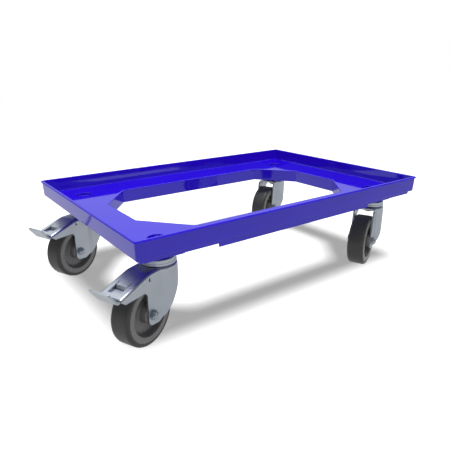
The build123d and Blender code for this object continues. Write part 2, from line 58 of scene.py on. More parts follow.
# Where the tray and its castors stand
tray_low, tray_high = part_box("tray")
CENTRE = np.array([tray_low[0] + tray_high[0], tray_low[1] + tray_high[1], 0]) / 2 / MM
CASTOR_X = 247.0
CASTOR_Y = 148.5
CASTOR_TURN = radians(203.6)
CASTORS = (
    ("left_front", -1, -1, True),
    ("left_rear", -1, 1, True),
    ("right_front", 1, -1, False),
    ("right_rear", 1, 1, False),
)

# Camera, solved from the rim's corners: place about the tray's centre, turn, and lens on a 36 mm wide picture
CAMERA_PLACE = (-529.28, -701.11, 377.85)
CAMERA_YAW = 36.212
CAMERA_PITCH = 18.868
CAMERA_ROLL = 0.128
CAMERA_LENS = 36.2
CAMERA_FILM = 36.0
CAMERA_NEAREST = 10.0

# Tray: rim section as inset and height, and plan of the opening
TRAY_HALF_X = 310.0
TRAY_HALF_Y = 210.0
TRAY_TOP = 175.0
DECK_TOP = 150.0
DECK_BOTTOM = 146.0
RIM_CORNER = 5.0
RIM_CORNER_TAPER = 0.4
LIP_BOTTOM = 172.3
LIP_OVERHANG = 2.06
LIP_CHAMFER = (1.2, 2.3)
WALL_FOOT = 3.2
WELL_TOP = 4.5
WELL_FOOT = 5.8
RIM_REACH_ABOVE = 9.0
RIM_REACH_BELOW = 16.0
OPENING_HALF_X = 235.5
OPENING_HALF_Y = 134.5
CHAMFER_X = 172.0
CHAMFER_Y = 57.0
OPENING_CORNER = 3.0
OPENING_REACH = 6.0
SKIRT = 3.0
INNER_SKIRT_BOTTOM = 124.0
OUTER_SKIRT = 10.0
OUTER_SKIRT_BOTTOM = 139.0
DEEP_SKIRT_BOTTOM = 133.2
DEEP_SKIRT_SETBACK = 0.2
RIB_BOTTOM = 140.0
LONG_SIDE_RIBS = (-172.0, -86.0, 0.0, 86.0, 172.0)
SHORT_SIDE_RIBS = (-57.0, 0.0, 57.0)
PAD_HALF_X = 34.0
PAD_HALF_Y = 24.5
PAD_BOTTOM = 125.0
PAD_CORNER = 3.0
PAD_EDGE = 1.2
POCKET_RADIUS = 14.2
POCKET_EDGE = 1.2
POCKET_FLOOR = 145.0
COUNTERBORE = 9.0
COUNTERBORE_FLOOR = 132.5
BOLT_HOLE = 5.4
OVERLAP = 1.0

# Fork sheet
SHEET = 3.0
SHEET_EDGE = 0.5
CROWN_TOP = 114.5
CROWN_RADIUS = 28.8
CROWN_REAR = 38.0
CROWN_HOLE = 11.0
FORK_HALF_WIDTH = 21.0
FORK_BLEND = 8.0
FRONT_SWEEP = 0.72 * pi
BLEND_SPAN = (18.0, 23.0)
BEND = 5.0
HOOD_START = 40.0
HOOD_END = 101.2
HOOD_BEND = 11.0
HOOD_SLOPE = 0.2493
WINDOW = (77.0, 94.5)
WINDOW_HALF_WIDTH = 10.5
SLIT_START = 70.0
SLIT_HALF_WIDTH = 9.3
TAB_BEND = 0.9
TAB_LEAN = 2.5
TAB_DROP = 5.4
PIVOT_X = 44.8
PIVOT_Z = 106.0
PIVOT_RADIUS = 2.0
PIVOT_PATCH = 3.2
PIVOT_FLARE = 3.0
PIVOT_DIP = 0.9
PIVOT_PIN_HALF_LENGTH = 18.4
PIVOT_PLAY = 0.1

# Lower and rear outlines of the forks: x, z and the round of each corner
FORK_TOE = ((17, 39, 8), (28, 33.5, 3), (31, 33.2, 3), (47, 35.5, 4), (51.4, 41, 4))
BRAKED_FRONT = ((-CROWN_RADIUS, 107.2, 0), (-18.2, 104, 1), (-17, 86, 6))
BRAKED_REAR = ((51.6, 85, 4), (56.5, 90, 4), (95, 91, 3), (100.7, 95.5, 1.5), (HOOD_END, 97.3, 0))
PLAIN_FRONT = (
    (-CROWN_RADIUS, 107.4, 0), (-22.5, 104.8, 10), (-14.5, 95.5, 14), (-6.5, 82, 14), (-3.5, 61, 14),
)
PLAIN_TIP = (51.5, 41, 0)
PLAIN_REAR = ((CROWN_REAR, CROWN_TOP - BEND, 0), (41.5, CROWN_TOP - BEND - 1, 2), (50.5, 55.5, 10), PLAIN_TIP)

# Swivel bowl: radius, height and the round of each corner of its section
BOWL = (
    (10.2, 125, 0.3), (26.9, 125, 2.2), (27.3, 118.9, 0.4), (27.6, 118.5, 0.4), (28, 115, 1),
    (24.5, 115, 1), (24.5, 122.5, 1.5), (10.2, 122.5, 0.3),
)

# Brake lever
LEVER_SHEET = 2.8
LEVER_HALF_WIDTH = 17.4
LEVER_START = (62.0, 99.8)
LEVER_NECK = 16.5
LEVER_NECK_SPAN = (71.5, 73.0)
LEVER_STEP = 2.0
LEVER_STEP_SPAN = (80.0, 82.5, 92.0, 98.0)
PEDAL_FOOT = (104.9, 93.0)
PEDAL_TIP = (120.3, 113.2)
PEDAL_BEND = 3.5
PEDAL_HALF_WIDTH = 17.5
PEDAL_NECK = 95.0
PEDAL_SHOULDER = 101.5
PEDAL_CORNER = 3.0
PEDAL_SPAN = (0.06, 0.85)
CHEEK_SHEET = 2.5
CHEEK_END = 72.0
CHEEK_DEPTH = 3.4
CHEEK_ROUND = 0.5
EYE_RADIUS = 3.2

# Screws and nuts: M8 on the axle, M10 through the castors
HEX_STEPS = 72
HEX_FACE = 0.47
HEX_CONE = radians(30)
FASTENER_SHARP = 25
AXLE_RADIUS = 4.0
AXLE_FLATS = 13.0
AXLE_HEAD = 5.3
AXLE_NUT = 7.2
AXLE_NUT_HEX = 5.0
AXLE_NUT_COLLAR = 5.7
AXLE_NUT_SINK = 0.5
AXLE_END = 0.8
AXLE_CHAMFER = 0.7
AXLE_DIMPLE = ((1.5, 0, 0.2), (1.1, 0.6, 0.2), (0, 0.7, 0))
SCREW_RADIUS = 5.0
SCREW_HEAD_RADIUS = 8.0
SCREW_HEAD_BOTTOM = 134.5
SCREW_HEAD_TOP = 141.5
SCREW_SOCKET = 7.0
SCREW_SOCKET_DEPTH = 4.0
SCREW_SOCKET_TAPER = 0.97
SCREW_SOCKET_EDGE = 0.4
SCREW_SOCKET_POINT = 1.0
SCREW_FACE = 6.8
SCREW_END = 99.5
SCREW_CHAMFER = 0.8
FIXING_NUT_FLATS = 17.0
FIXING_NUT_TOP = 105.5
FIXING_NUT_BOTTOM = 100.5

# Wheel, and half its hub's section: radius, distance along the axle and the round of each corner
WHEEL_RADIUS = 50.0
TRAIL = 41.3
AXLE = (TRAIL, 0, WHEEL_RADIUS)
TYRE_HALF_WIDTH = 16.3
TYRE_INNER = 43.5
TYRE_SHOULDER = 5.0
RIM_HALF_WIDTH = 15.9
RIM_ROUND = 0.5
HUB = (
    (9, 17.6, 0.5), (14, 17.6, 1), (14, 5, 3), (31, 5, 4),
    (34.7, RIM_HALF_WIDTH, 1.2), (TYRE_INNER, RIM_HALF_WIDTH, RIM_ROUND),
)

# Points closer than JOINED become one, and faces thinner than SLIVER go. A HAIR keeps two points of a line
# apart, and NEAR takes in the points that lie on a limit
JOINED = 0.005
SLIVER = 0.002
HAIR = 0.01
NEAR = 0.001


def unit(rows):
    """Rows of vectors, each brought to a length of 1."""
    return rows / np.linalg.norm(rows, axis=1, keepdims=True)


def softened(corners, steps=4, closed=False):
    """Line through corners given as (x, y, radius): each corner becomes an arc tangent to both its sides.

    The arc starts radius * tan(half the turn) before the corner, and its heading turns evenly from one side
    to the other. An open line keeps its two ends as they are.
    """
    data = np.asarray(corners, float)
    point, radius = data[:, :2], data[:, 2]
    ahead = unit(np.roll(point, -1, 0) - point)
    before = np.roll(ahead, 1, 0)
    turn = np.arctan2(before[:, 0] * ahead[:, 1] - before[:, 1] * ahead[:, 0], (before * ahead).sum(1))
    start = point - before * (radius * np.tan(np.abs(turn) / 2))[:, None]
    to_centre = np.stack([-before[:, 1], before[:, 0]], 1) * (radius * np.sign(turn))[:, None]
    angle = turn[:, None] * np.linspace(0, 1, steps + 1)
    spoke = -to_centre[:, None]
    turned = np.stack([
        spoke[..., 0] * np.cos(angle) - spoke[..., 1] * np.sin(angle),
        spoke[..., 0] * np.sin(angle) + spoke[..., 1] * np.cos(angle),
    ], -1)
    line = (start + to_centre)[:, None] + turned
    if closed:
        return line.reshape(-1, 2)
    return np.concatenate([point[:1], line[1:-1].reshape(-1, 2), point[-1:]])


def grid(points, closed=False, keep=None):
    """Patch of quads between neighbours of a rows by columns grid.

    Closed joins the last column to the first, and keep tells for each quad whether it stays.
    """
    rows, columns = points.shape[:2]
    index = np.arange(rows * columns).reshape(rows, columns)
    if closed:
        index = np.hstack([index, index[:, :1]])
    quads = np.stack([index[:-1, :-1], index[:-1, 1:], index[1:, 1:], index[1:, :-1]], -1)
    quads = quads.reshape(-1, 4) if keep is None else quads[keep]
    return points.reshape(-1, 3), quads


def moved(patch, matrix):
    """Patch with its points carried by a 4 by 4 matrix."""
    points, quads = patch
    matrix = np.asarray(matrix, float)
    return points @ matrix[:3, :3].T + matrix[:3, 3], quads


def turned_ring(profile, axis="z", centre=(0, 0, 0), steps=64, closed=False):
    """Patch turned round an axis: a profile of (radius, distance along) carried round a full circle.

    A radius or distance is one number, or one for each step of the circle. A closed profile ends where it
    starts.
    """
    angle = np.linspace(0, 2 * pi, steps, endpoint=False)
    rows = [*profile, profile[0]] if closed else profile
    radius, along = [np.stack([row[k] + 0 * angle for row in rows]) for k in (0, 1)]
    flat = [radius * np.cos(angle), radius * np.sin(angle)]
    flat.insert({"y": 1, "z": 2}[axis], along)
    return grid(np.stack(flat, -1) + np.asarray(centre, float), closed=True)


def upright(path, height):
    """Points of a plan path, or of a row of paths, raised to heights that are broadcast over them."""
    height = np.broadcast_to(np.asarray(height, float), path.shape[:-1])
    return np.concatenate([path, height[..., None]], -1)


def capped(rows):
    """Patches of a tube through rows of points round it, closed at both ends with triangles."""
    rows = np.asarray(rows)
    ends = [grid(np.stack([row, 0 * row + row.mean(0)]), closed=True) for row in (rows[0], rows[-1])]
    return [grid(rows, closed=True)] + ends


def block(corner, opposite, edge=0.8):
    """Patches of a box with round edges between two corners: its plan carried up, drawn in at both ends."""
    low, high = np.sort(np.array([corner, opposite], float), axis=0)
    arc = np.linspace(0, pi / 2, 4)
    inset = np.concatenate([edge * (1 - np.sin(arc)), edge * (1 - np.sin(arc[::-1]))])
    height = np.concatenate([low[2] + edge * (1 - np.cos(arc)), high[2] - edge * (1 - np.cos(arc[::-1]))])
    (x0, y0), (x1, y1) = low[:2], high[:2]
    loops = [softened([
        (x0 + d, y0 + d, edge), (x1 - d, y0 + d, edge), (x1 - d, y1 - d, edge), (x0 + d, y1 - d, edge),
    ], 3, True) for d in inset]
    return capped(upright(np.stack(loops), height[:, None]))


def strip(path, half_width, thickness, edge=0.5):
    """Patches of a bent strip of sheet: a rounded rectangle carried along a path of (x, z).

    The path is the strip's under face. The section stands square to it and reaches half_width to each side.
    """
    path = np.asarray(path, float)
    ahead = unit(np.gradient(path, axis=0))
    over = np.stack([-ahead[:, 1], ahead[:, 0]], 1)
    corner = np.repeat(np.arange(4), 4)
    angle = (corner + np.tile(np.linspace(0, 1, 4), 4)) * pi / 2
    side = np.array([1, -1, -1, 1])[corner]
    level = np.array([1, 1, -1, -1])[corner]
    y = side * (np.asarray(half_width)[:, None] - edge) + edge * np.cos(angle)
    height = thickness / 2 + level * (thickness / 2 - edge) + edge * np.sin(angle)
    x, z = [path[:, k:k + 1] + over[:, k:k + 1] * height for k in (0, 1)]
    return capped(np.stack([x, y, z], -1))


def plate(outline, low, high, edge=0.4):
    """Patches of a flat plate across Y: an outline of (x, z), drawn in a little at its two faces."""
    middle = outline.mean(0)
    size = np.linalg.norm(outline - middle, axis=1).min()
    rows = []
    for y, inset in ((low, edge), (low + edge, 0), (high - edge, 0), (high, edge)):
        line = middle + (outline - middle) * (1 - inset / size)
        rows.append(np.stack([line[:, 0], np.full(len(line), y), line[:, 1]], -1))
    return capped(rows)


def hexagon_radius(flats):
    """Radius of a hexagon at even steps round it.

    It is half the flats over the cosine of the angle to the nearest flat's middle.
    """
    angle = np.linspace(0, 2 * pi, HEX_STEPS, endpoint=False)
    return flats / 2 / np.cos(angle % (pi / 3) - pi / 6)


def hexagon_ring(flats, low, high, bore, axis="z", centre=(0, 0, 0)):
    """Patch of a nut or a screw's head: a hexagon round an axis, its corners cut by a cone at both ends."""
    hexagon = hexagon_radius(flats)
    face = HEX_FACE * flats
    cut = (hexagon - face) * np.tan(HEX_CONE)
    rows = [(bore, low), (face, low), (hexagon, low + cut), (hexagon, high - cut), (face, high), (bore, high)]
    return turned_ring(rows, axis, centre, HEX_STEPS, closed=True)


def add_object(name, data):
    """New object in the scene."""
    thing = bpy.data.objects.new(name, data)
    bpy.context.collection.objects.link(thing)
    return thing


def make_piece(name, patches, body, slot, replaced=(), place=None, sheet=0.0, edge=0.0, sharp=32):
    """One piece from its patches, in its place, joined where they meet, with its faces turned outwards.

    A sheet's thickness goes inwards from its skin, and an edge is the width of the round along sharp edges.
    """
    starts = np.cumsum([0] + [len(patch[0]) for patch in patches[:-1]])
    points = np.concatenate([patch[0] for patch in patches])
    quads = np.concatenate([patch[1] + start for patch, start in zip(patches, starts)])
    if place is not None:
        points = moved((points, None), place)[0]
    points = (points + CENTRE) * MM
    mesh = bpy.data.meshes.new(name)
    mesh.from_pydata(points.tolist(), [], quads.tolist())
    work = bmesh.new()
    work.from_mesh(mesh)
    bmesh.ops.remove_doubles(work, verts=work.verts, dist=JOINED * MM)
    bmesh.ops.dissolve_degenerate(work, edges=work.edges, dist=SLIVER * MM)
    bmesh.ops.recalc_face_normals(work, faces=work.faces)
    work.to_mesh(mesh)
    work.free()
    mesh.polygons.foreach_set("use_smooth", np.ones(len(mesh.polygons), bool))
    mesh.materials.append(FINISHES[slot])
    piece = add_object(name, mesh)
    if sheet:
        wall = piece.modifiers.new("sheet", "SOLIDIFY")
        wall.thickness = sheet * MM
        wall.offset = -1
        wall.use_even_offset = True
    if edge:
        bevel = piece.modifiers.new("edge", "BEVEL")
        bevel.width = edge * MM
        bevel.segments = 2
        bevel.limit_method = "ANGLE"
        bevel.angle_limit = radians(sharp)
    mesh.set_sharp_from_angle(angle=radians(sharp))
    level = piece.modifiers.new("flat_faces", "WEIGHTED_NORMAL")
    level.keep_sharp = True
    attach(piece, body)
    if replaced:
        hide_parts(*replaced)
    return piece


# Materials

def linear(code):
    """Linear colour, with an alpha of 1, of an sRGB hex code."""
    s = np.array([int(code[i:i + 2], 16) for i in (1, 3, 5)]) / 255
    low = s / 12.92
    high = ((s + 0.055) / 1.055) ** 2.4
    return (*np.where(s <= 0.04045, low, high).tolist(), 1.0)


def add_node(tree, kind, settings=None, links=None):
    """One node: settings go to its properties, sockets or ramp stops, and links feed its sockets."""
    node = tree.nodes.new(kind)
    for key, value in (settings or {}).items():
        if key == "stops":
            elements = node.color_ramp.elements
            for _ in value[2:]:
                elements.new(1.0)
            for element, (place, colour) in zip(elements, value):
                element.position = place
                element.color = colour
        elif isinstance(key, int) or key in node.inputs:
            node.inputs[key].default_value = value
        else:
            setattr(node, key, value)
    for key, source in (links or {}).items():
        tree.links.new(source, node.inputs[key])
    return node


def new_material(name):
    """Empty material, and its tree."""
    material = bpy.data.materials.new(name)
    material.use_nodes = True
    material.node_tree.nodes.clear()
    return material, material.node_tree


def finished(material, constants, tone=None, gloss=None, relief=None):
    """Material with its shader, which keeps constant values and is fed with a tone, a gloss and a relief."""
    tree = material.node_tree
    feeds = (("Base Color", tone, "Color"), ("Roughness", gloss, "Result"), ("Normal", relief, "Normal"))
    links = {key: node.outputs[output] for key, node, output in feeds if node}
    shader = add_node(tree, "ShaderNodeBsdfPrincipled", constants, links)
    add_node(tree, "ShaderNodeOutputMaterial", links={"Surface": shader.outputs["BSDF"]})
    return material


def per_metre(size):
    """Scale of a pattern whose features are size millimetres across."""
    return 1 / (size * MM)


def moulded_blue_abs():
    """ABS moulded in a polished tool: deep even blue under a hard gloss.

    To the eye: clear reflections that waver a little with the moulding, faint flow clouds in the blue, and
    soft rub marks that dull the gloss here and there.
    """
    material, tree = new_material("moulded_blue_abs")
    place = {"Vector": add_node(tree, "ShaderNodeTexCoord").outputs["Object"]}
    clouds = add_node(tree, "ShaderNodeTexNoise", {"Scale": per_metre(120), "Detail": 2.0}, place)
    blues = ((0.3, linear("#2806df")), (0.7, linear("#2c08ec")))
    blue = add_node(tree, "ShaderNodeValToRGB", {"stops": blues}, {"Fac": clouds.outputs["Fac"]})
    rubs = add_node(tree, "ShaderNodeTexNoise", {
        "Scale": per_metre(24), "Detail": 6.0, "Roughness": 0.7,
    }, place)
    gloss = add_node(tree, "ShaderNodeMapRange", {
        "From Min": 0.35, "From Max": 0.75, "To Min": 0.03, "To Max": 0.08,
    }, {"Value": rubs.outputs["Fac"]})
    waves = add_node(tree, "ShaderNodeTexNoise", {"Scale": per_metre(35), "Detail": 1.0}, place)
    relief = add_node(tree, "ShaderNodeBump", {"Strength": 0.1, "Distance": 0.3 * MM},
                      {"Height": waves.outputs["Fac"]})
    return finished(material, {"IOR": 1.7}, blue, gloss, relief)


def worked_steel(name, dark, light, smooth, rough):
    """Steel: clouds in its colour, and faint lines in its gloss from the way it was rolled or ground.

    Real lines are about 0.1 mm apart. They are drawn 6 mm apart and 90 mm long, so that they show.
    """
    material, tree = new_material(name)
    place = {"Vector": add_node(tree, "ShaderNodeTexCoord").outputs["Object"]}
    clouds = add_node(tree, "ShaderNodeTexNoise", {"Scale": per_metre(30), "Detail": 1.0}, place)
    tones = ((0.32, linear(dark)), (0.68, linear(light)))
    tone = add_node(tree, "ShaderNodeValToRGB", {"stops": tones}, {"Fac": clouds.outputs["Fac"]})
    along = add_node(tree, "ShaderNodeMapping", {"Scale": (per_metre(90), per_metre(6), per_metre(6))}, place)
    lines = add_node(tree, "ShaderNodeTexNoise", {"Scale": 1.0, "Detail": 1.0}, {
        "Vector": along.outputs["Vector"],
    })
    satin = add_node(tree, "ShaderNodeMapRange", {
        "From Min": 0.3, "From Max": 0.7, "To Min": smooth, "To Max": rough,
    }, {"Value": lines.outputs["Fac"]})
    relief = add_node(tree, "ShaderNodeBump", {"Strength": 0.2, "Distance": 0.02 * MM},
                      {"Height": clouds.outputs["Fac"]})
    return finished(material, {"Metallic": 1.0}, tone, satin, relief)


def zinc_plated_steel():
    """Pressed sheet with bright zinc plating: cool satin grey, a little cloudy from the bath."""
    return worked_steel("zinc_plated_steel", "#bec6cf", "#c6cdd6", 0.32, 0.36)


def ground_bearing_steel():
    """Hardened and ground steel: darker and smoother than the plating, under a film of grease."""
    return worked_steel("ground_bearing_steel", "#82868b", "#94989d", 0.16, 0.24)


def blued_spring_steel():
    """Rolled spring strip, heat-blued: dark, with a dull shine."""
    return worked_steel("blued_spring_steel", "#474c55", "#565c66", 0.26, 0.36)


def tyre_rubber():
    """Grey rubber moulded in a blasted tool: dark, with a soft sheen broken by a fine grain.

    Real grain is about 0.3 mm. It is drawn 1.6 mm across, so that it shows.
    """
    material, tree = new_material("moulded_grey_rubber")
    place = {"Vector": add_node(tree, "ShaderNodeTexCoord").outputs["Object"]}
    dust = add_node(tree, "ShaderNodeTexNoise", {
        "Scale": per_metre(18), "Detail": 5.0, "Roughness": 0.65,
    }, place)
    tones = ((0.3, linear("#383939")), (0.75, linear("#404140")))
    tone = add_node(tree, "ShaderNodeValToRGB", {"stops": tones}, {"Fac": dust.outputs["Fac"]})
    sheen = add_node(tree, "ShaderNodeMapRange", {
        "From Min": 0.3, "From Max": 0.7, "To Min": 0.36, "To Max": 0.44,
    }, {"Value": dust.outputs["Fac"]})
    grain = add_node(tree, "ShaderNodeTexNoise", {"Scale": per_metre(1.6), "Detail": 2.0}, place)
    relief = add_node(tree, "ShaderNodeBump", {"Strength": 0.12, "Distance": 0.1 * MM},
                      {"Height": grain.outputs["Fac"]})
    return finished(material, {"IOR": 1.6}, tone, sheen, relief)


def hub_polypropylene_painted_shade():
    """Grey moulded polypropylene, pale and even on its ring and web, with painted shade darkening the dish's
    slope.

    The tones follow the distance from the axle, as a share of the wheel's radius.
    """
    material, tree = new_material("moulded_grey_polypropylene_painted_shade")
    place = {"Vector": add_node(tree, "ShaderNodeTexCoord").outputs["Object"]}
    from_axle = add_node(tree, "ShaderNodeAttribute", {"attribute_name": "from_axle"})
    reach = add_node(tree, "ShaderNodeMapRange", {"From Max": WHEEL_RADIUS}, {
        "Value": from_axle.outputs["Fac"],
    })
    # The darker stops on the dish's slope are painted shade, where the fork, hood and tray keep light off it
    tones = ((0.54, linear("#848183")), (0.62, linear("#5f5e60")),
             (0.684, linear("#5f5e60")), (0.708, linear("#878688")))
    tone = add_node(tree, "ShaderNodeValToRGB", {"stops": tones}, {"Fac": reach.outputs["Result"]})
    haze = add_node(tree, "ShaderNodeTexNoise", {"Scale": per_metre(12), "Detail": 4.0}, place)
    satin = add_node(tree, "ShaderNodeMapRange", {
        "From Min": 0.3, "From Max": 0.7, "To Min": 0.22, "To Max": 0.3,
    }, {"Value": haze.outputs["Fac"]})
    relief = add_node(tree, "ShaderNodeBump", {"Strength": 0.06, "Distance": 0.1 * MM},
                      {"Height": haze.outputs["Fac"]})
    return finished(material, {"IOR": 1.49}, tone, satin, relief)


def turned_nylon():
    """Natural nylon, turned from rod: milky, waxy and faintly lined."""
    material, tree = new_material("turned_natural_nylon")
    place = {"Vector": add_node(tree, "ShaderNodeTexCoord").outputs["Object"]}
    milk = add_node(tree, "ShaderNodeTexNoise", {"Scale": per_metre(6), "Detail": 3.0}, place)
    tones = ((0.3, linear("#cfcabb")), (0.7, linear("#dad6ca")))
    tone = add_node(tree, "ShaderNodeValToRGB", {"stops": tones}, {"Fac": milk.outputs["Fac"]})
    wax = add_node(tree, "ShaderNodeMapRange", {"To Min": 0.35, "To Max": 0.5},
                   {"Value": milk.outputs["Fac"]})
    return finished(material, {"IOR": 1.53}, tone, wax)


FINISHES = {
    "blue_abs": moulded_blue_abs(),
    "zinc_steel": zinc_plated_steel(),
    "bearing_steel": ground_bearing_steel(),
    "spring_steel": blued_spring_steel(),
    "grey_hub": hub_polypropylene_painted_shade(),
    "grey_rubber": tyre_rubber(),
    "nylon_bearing": turned_nylon(),
}


def dress_nodes():
    """Give every node of the frame the finish of its slot."""
    for part in frame["record"]["subparts"]:
        node = frame["nodes"][part["node"]]
        for slot in node.material_slots:
            slot.material = FINISHES[part["material_slot"]]


# Tray: places along its sides where the rim has points, and the steps round a corner of it

SIDE_X = np.concatenate([np.linspace(0, 190, 5), np.linspace(206, 296, 11)])
SIDE_Y = np.concatenate([np.linspace(196, 106, 11), np.linspace(85, 0, 4)])
CORNER_STEPS = 8
CORNER_LEAST = 0.8


def rim_path(inset):
    """Quarter of the rim's plan, drawn in by each inset: long side, round corner, short side."""
    inset = np.asarray(inset, float)[:, None]
    half_x, half_y = TRAY_HALF_X - inset, TRAY_HALF_Y - inset
    radius = np.maximum(RIM_CORNER - RIM_CORNER_TAPER * inset, CORNER_LEAST)
    angle = np.linspace(pi / 2, 0, CORNER_STEPS + 1)
    x = np.hstack([SIDE_X + 0 * inset, half_x - radius + radius * np.cos(angle), half_x + 0 * SIDE_Y])
    y = np.hstack([half_y + 0 * SIDE_X, half_y - radius + radius * np.sin(angle), SIDE_Y + 0 * inset])
    return np.stack([x, y], -1)


def opening_path(grow):
    """Quarter of the opening's plan, moved outwards by grow: end side, chamfer, long side and round corners.

    The chamfer's line lies at an offset along its normal, and cuts the two sides at side_y and end_x.
    """
    run = np.array([CHAMFER_X - OPENING_HALF_X, OPENING_HALF_Y - CHAMFER_Y])
    normal = np.array([run[1], -run[0]]) / np.linalg.norm(run)
    offset = grow + normal @ (OPENING_HALF_X, CHAMFER_Y)
    half_x, half_y = OPENING_HALF_X + grow, OPENING_HALF_Y + grow
    side_y = (offset - normal[0] * half_x) / normal[1]
    end_x = (offset - normal[1] * half_y) / normal[0]
    radius = OPENING_CORNER + grow
    bends = softened([
        (half_x, 0, 0), (half_x, side_y, radius), (end_x, half_y, radius), (0, half_y, 0),
    ], 5)
    end_side = np.linspace(bends[0], bends[1], 5)
    chamfer = np.linspace(bends[6], bends[7], 14)
    long_side = np.linspace(bends[12], bends[13], 6)
    return np.concatenate([end_side[:-1], bends[1:6], chamfer, bends[8:12], long_side])


def tray_quarter():
    """Patches of a quarter of the tray: rim, opening edge, deck faces and pocket.

    The sections of rim and opening, whose corners are inset, height and round, are carried along their plan
    paths. The deck lies between those paths and the pocket's circle: each point of the quarter's outline is
    joined to the circle's point in the same direction.
    """
    skirt_back = OUTER_SKIRT + SKIRT
    rim = softened([
        (RIM_REACH_ABOVE, DECK_TOP, 0), (WELL_FOOT, DECK_TOP, 1.3), (WELL_TOP, TRAY_TOP, 0.9),
        (LIP_CHAMFER[0], TRAY_TOP, 0.5), (0, TRAY_TOP - LIP_CHAMFER[1], 0.3), (0, LIP_BOTTOM, 0.2),
        (LIP_OVERHANG, LIP_BOTTOM, 0.6), (WALL_FOOT, DECK_BOTTOM, 1.0), (OUTER_SKIRT, DECK_BOTTOM, 0.8),
        (OUTER_SKIRT, OUTER_SKIRT_BOTTOM, 0.8), (skirt_back, OUTER_SKIRT_BOTTOM, 0.8),
        (skirt_back, DECK_BOTTOM, 0.8), (RIM_REACH_BELOW, DECK_BOTTOM, 0),
    ])
    edge = softened([
        (OPENING_REACH, DECK_TOP, 0), (0, DECK_TOP, 1.5), (0, INNER_SKIRT_BOTTOM, 0.8),
        (SKIRT, INNER_SKIRT_BOTTOM, 0.8), (SKIRT, DECK_BOTTOM, 1.0), (OPENING_REACH, DECK_BOTTOM, 0),
    ])
    rim_grid = upright(rim_path(rim[:, 0]), rim[:, 1:])
    edge_grid = upright(np.stack([opening_path(g) for g in edge[:, 0]]), edge[:, 1:])
    pocket_place = np.array([CASTOR_X, CASTOR_Y])
    patches = [grid(rim_grid), grid(edge_grid)]
    pocket = softened([
        (POCKET_RADIUS + POCKET_EDGE, DECK_TOP, 0), (POCKET_RADIUS, DECK_TOP, 0.6),
        (POCKET_RADIUS, POCKET_FLOOR, 0.8), (COUNTERBORE, POCKET_FLOOR, 0.5),
        (COUNTERBORE, COUNTERBORE_FLOOR, 0.4), (BOLT_HOLE, COUNTERBORE_FLOOR, 0),
    ])
    for row, height in ((0, DECK_TOP), (-1, DECK_BOTTOM)):
        outline = np.concatenate([rim_grid[row, :, :2], edge_grid[row, :, :2]])
        spoke = unit(outline - pocket_place)
        circle = pocket_place + spoke * (POCKET_RADIUS + POCKET_EDGE)
        patches.append(grid(upright(np.stack([outline, circle]), height), closed=True))
        if row == 0:
            rings = pocket_place + spoke * pocket[:, :1, None]
            patches.append(grid(upright(rings, pocket[:, 1:]), closed=True))
    return patches


def pad():
    """Patches of one castor pad: its plan carried down to a round lower edge, closed round the bolt hole."""
    arc = np.linspace(0, pi / 2, 5)
    inset = np.concatenate([[0], PAD_EDGE * (1 - np.cos(arc))])
    height = np.concatenate([[DECK_BOTTOM], PAD_BOTTOM + PAD_EDGE * (1 - np.sin(arc))])
    loops = np.stack([softened([
        (-x, -y, PAD_CORNER), (x, -y, PAD_CORNER), (x, y, PAD_CORNER), (-x, y, PAD_CORNER),
    ], 4, True) for x, y in zip(PAD_HALF_X - inset, PAD_HALF_Y - inset)])
    rows = upright(loops, height[:, None])
    spoke = unit(loops[-1])
    hole = upright(spoke * BOLT_HOLE, PAD_BOTTOM)
    return [grid(rows, closed=True), grid(np.stack([rows[-1], hole]), closed=True)]


def make_tray():
    """Tray: one quarter mirrored across its middle planes, with deep skirts, ribs and pads under the deck."""
    patches = []
    for name, end, side, braked in CASTORS:
        patches += [moved(patch, np.diag([end, side, 1, 1])) for patch in tray_quarter()]
        place = Matrix.Translation((end * CASTOR_X, side * CASTOR_Y, 0))
        patches += [moved(patch, place) for patch in pad()]
    sunk = DECK_BOTTOM + OVERLAP
    outer_y, outer_x = TRAY_HALF_Y - OUTER_SKIRT - OVERLAP, TRAY_HALF_X - OUTER_SKIRT - OVERLAP
    inner_y, inner_x = OPENING_HALF_Y + OVERLAP, OPENING_HALF_X + OVERLAP
    pad_y, pad_x = CASTOR_Y + PAD_HALF_Y - OVERLAP, CASTOR_X + PAD_HALF_X - OVERLAP
    half = SKIRT / 2
    deep_face = TRAY_HALF_Y - OUTER_SKIRT - DEEP_SKIRT_SETBACK
    deep_back = TRAY_HALF_Y - OUTER_SKIRT - SKIRT + DEEP_SKIRT_SETBACK
    deep_top = OUTER_SKIRT_BOTTOM + 2 * OVERLAP
    for side in (-1, 1):
        foot = (-CHAMFER_X, side * deep_face, DEEP_SKIRT_BOTTOM)
        patches += block(foot, (CHAMFER_X, side * deep_back, deep_top))
        for x in LONG_SIDE_RIBS:
            patches += block((x - half, side * inner_y, RIB_BOTTOM), (x + half, side * outer_y, sunk))
        for y in SHORT_SIDE_RIBS:
            patches += block((side * inner_x, y - half, RIB_BOTTOM), (side * outer_x, y + half, sunk))
    for name, end, side, braked in CASTORS:
        x, y = end * CASTOR_X, side * CASTOR_Y
        patches += block((end * pad_x, y - half, RIB_BOTTOM), (end * outer_x, y + half, sunk))
        patches += block((x - half, side * pad_y, RIB_BOTTOM), (x + half, side * outer_y, sunk))
    tray = make_piece("blue_tray", patches, "frame", "blue_abs", ["tray"])
    # No blue light from the tray on what stands under it
    tray.visible_diffuse = False
    return tray


# Castors

def castor_place(end, side):
    """Matrix that turns a castor to the angle it stands at and sets it under its corner."""
    return Matrix.Translation((end * CASTOR_X, side * CASTOR_Y, 0)) @ Matrix.Rotation(CASTOR_TURN, 4, "Z")


def hood_top(x):
    """Height of the fork's top: level over the crown, bent down evenly, then straight to the hood's end.

    In the bend the slope grows evenly, so the height falls with the square of the distance.
    """
    bent = np.clip(x - HOOD_START, 0, HOOD_BEND)
    straight = np.maximum(x - HOOD_START - HOOD_BEND, 0)
    return CROWN_TOP - HOOD_SLOPE * (bent ** 2 / (2 * HOOD_BEND) + straight)


